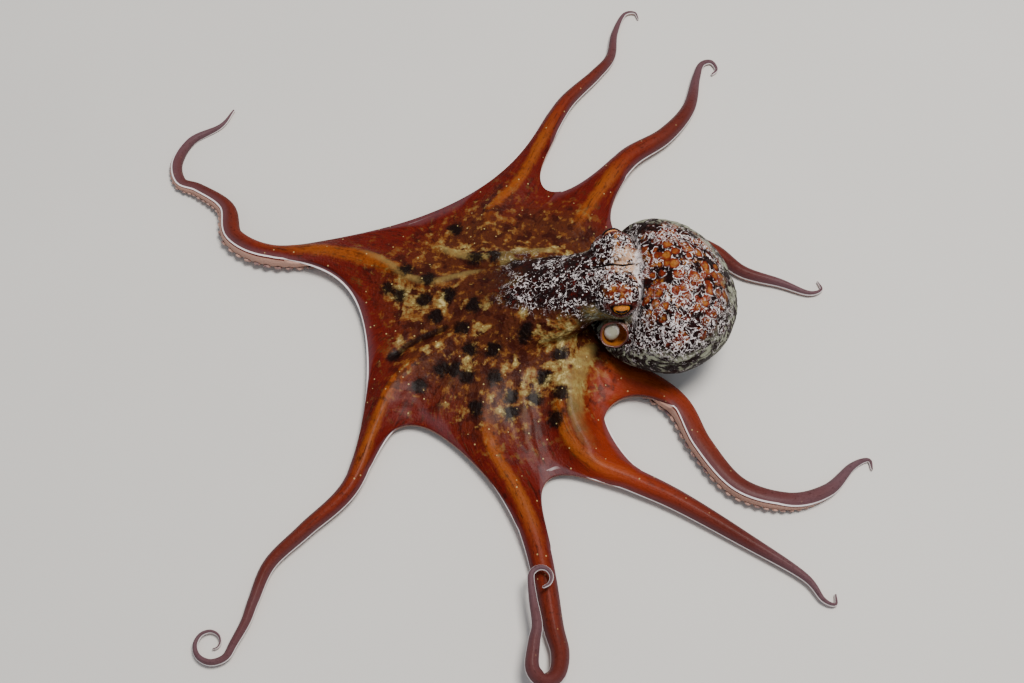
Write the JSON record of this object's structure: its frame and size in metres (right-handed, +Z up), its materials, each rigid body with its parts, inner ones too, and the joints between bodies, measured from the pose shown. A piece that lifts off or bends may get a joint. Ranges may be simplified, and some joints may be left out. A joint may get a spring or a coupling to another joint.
{
  "type": "octopus",
  "caption": "Common octopus at rest on a flat floor, web spread and long tapering arms laid out, two tips curled, head and mantle raised behind the arms.",
  "frame": {"origin": "centre of the flat underside at the mouth, on the floor that the animal rests on", "axes": "+Z up, +X towards the tip of the mantle, +Y towards the animal's right side"},
  "size_m": [0.5091, 0.5489, 0.0861],
  "materials": {
    "skin": "wet mottled skin, red-brown with ochre ridges, dark blotches, fine white spots and white web edges",
    "pale_skin": "smooth wet pale skin of the funnel and suckers, pink-mauve to cream",
    "eye": "glossy golden iris with a dark level slit pupil"
  },
  "bodies": {
    "root": {"head": "skin", "mantle": "skin", "funnel": "pale_skin", "eye_left": "eye", "eye_right": "eye", "arm_right_1_base": "skin", "arm_right_1_middle": "skin", "arm_right_1_tip": "skin", "arm_right_2_base": "skin", "arm_right_2_middle": "skin", "arm_right_2_tip": "skin", "arm_right_3_base": "skin", "arm_right_3_middle": "skin", "arm_right_3_tip": "skin", "arm_right_4_base": "skin", "arm_right_4_middle": "skin", "arm_right_4_tip": "skin", "arm_left_1_base": "skin", "arm_left_1_middle": "skin", "arm_left_1_tip": "skin", "arm_left_2_base": "skin", "arm_left_2_middle": "skin", "arm_left_2_tip": "skin", "arm_left_3_base": "skin", "arm_left_3_middle": "skin", "arm_left_3_tip": "skin", "arm_left_4_base": "skin", "arm_left_4_middle": "skin", "arm_left_4_tip": "skin", "web_dorsal": "skin", "web_right_1": "skin", "web_right_2": "skin", "web_right_3": "skin", "web_ventral": "skin", "web_left_3": "skin", "web_left_2": "skin", "web_left_1": "skin"}
  },
  "joints": []
}
